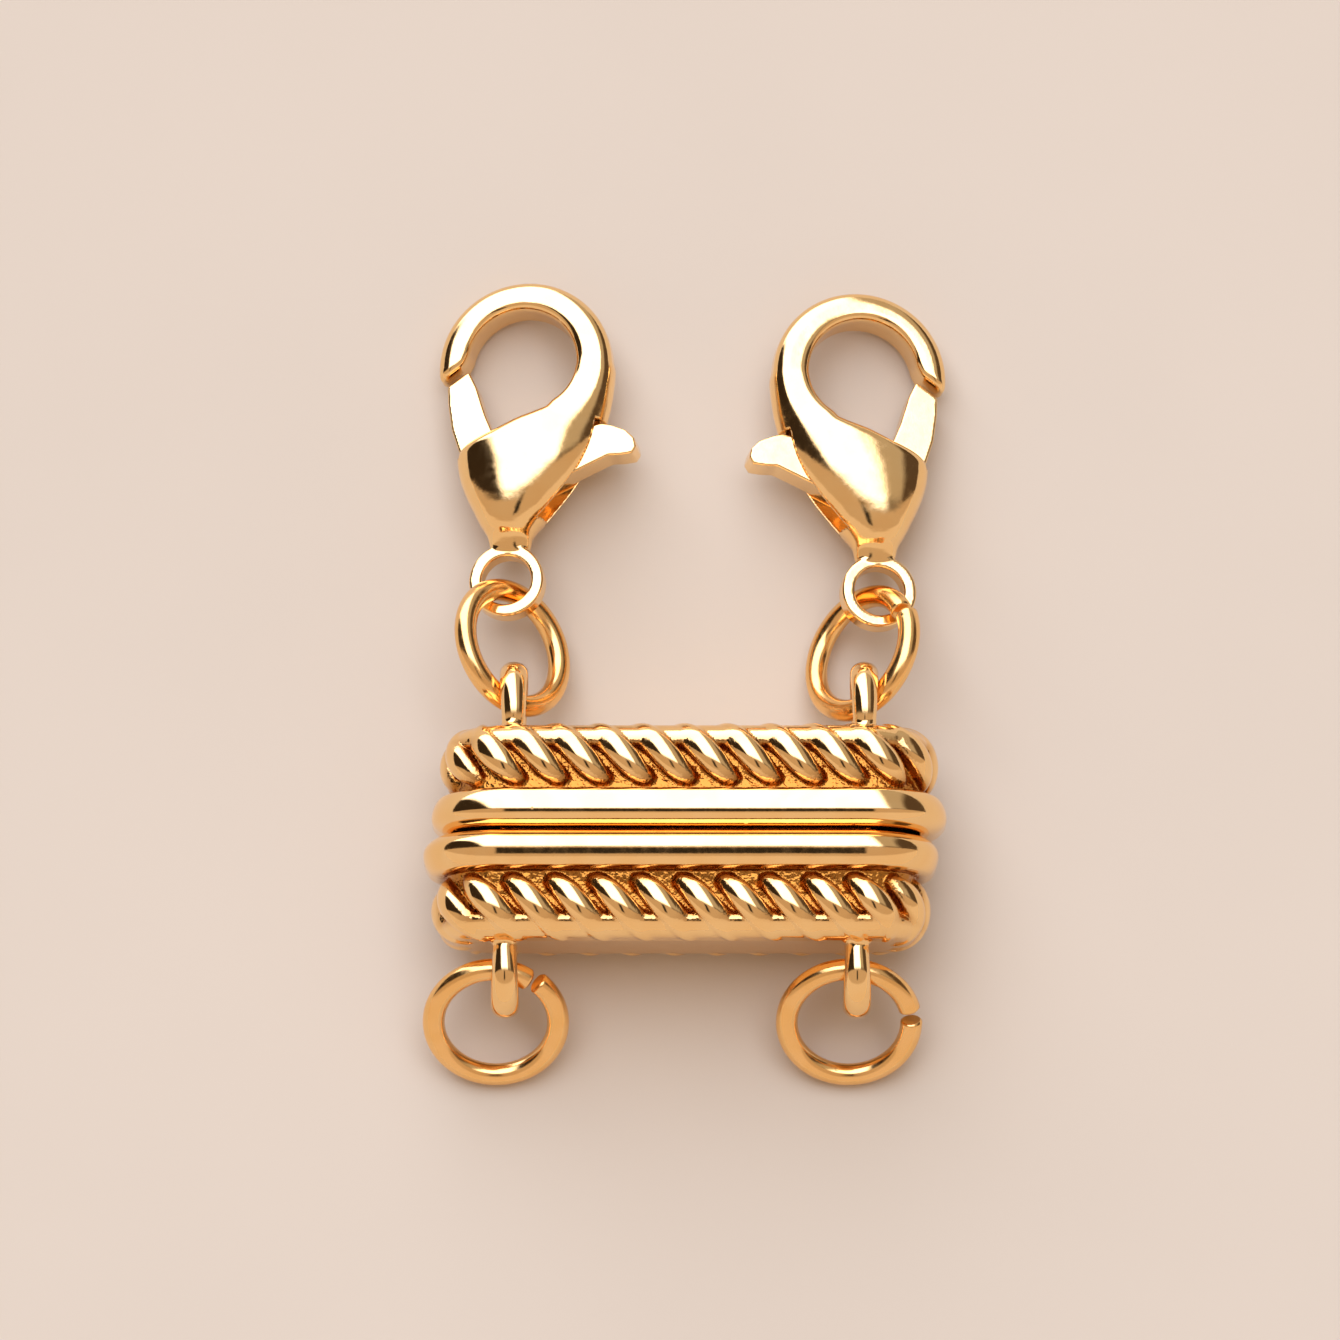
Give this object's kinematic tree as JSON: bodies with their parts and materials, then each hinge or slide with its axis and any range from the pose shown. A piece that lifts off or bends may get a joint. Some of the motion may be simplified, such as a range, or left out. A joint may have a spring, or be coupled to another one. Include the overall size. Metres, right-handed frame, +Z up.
{
  "type": "magnetic clasp",
  "caption": "Polished gold magnetic clasp for strands: rope-edged halves that meet at a split, lobster claws on one side and open jump rings on the other.",
  "frame": {"origin": "middle of the underside of the box around the whole clasp, on the table that it lies on", "axes": "+X across the strands, +Y from the open jump rings towards the lobster claws, +Z up from the table"},
  "size_m": [0.0186, 0.0288, 0.0062],
  "materials": {
    "gold": "mirror-polished yellow gold plating",
    "lever_gold": "gold plating with a slightly grainy flat face",
    "magnet": "nickel-plated magnet"
  },
  "bodies": {
    "upper_half": {"upper_shell": "gold", "upper_magnet_left": "magnet", "upper_magnet_right": "magnet", "jump_ring_upper_left": "gold", "jump_ring_upper_right": "gold", "claw_body_left": "gold", "claw_body_right": "gold", "pivot_pin_left": "lever_gold", "pivot_pin_right": "lever_gold"},
    "lower_half": {"lower_shell": "gold", "lower_magnet_left": "magnet", "lower_magnet_right": "magnet", "jump_ring_lower_left": "gold", "jump_ring_lower_right": "gold"},
    "lever_left": {"lever_left": "lever_gold"},
    "lever_right": {"lever_right": "lever_gold"}
  },
  "joints": [
    {"name": "halves_apart", "type": "slide", "parent": "upper_half", "child": "lower_half", "axis": [0, -1, 0], "range_m": [0, 0.01]},
    {"name": "lever_left", "type": "hinge", "parent": "upper_half", "child": "lever_left", "pos_m": [-0.00617, 0.00697, 0.00169], "axis": [0.1589, -0.1053, -0.9817], "range_deg": [0, 25], "stiffness_Nm_per_rad": 0.003, "springref_deg": -11.46},
    {"name": "lever_right", "type": "hinge", "parent": "upper_half", "child": "lever_right", "pos_m": [0.0067, 0.00658, 0.00166], "axis": [0.1592, 0.1005, 0.9821], "range_deg": [0, 25], "stiffness_Nm_per_rad": 0.003, "springref_deg": -11.46}
  ]
}
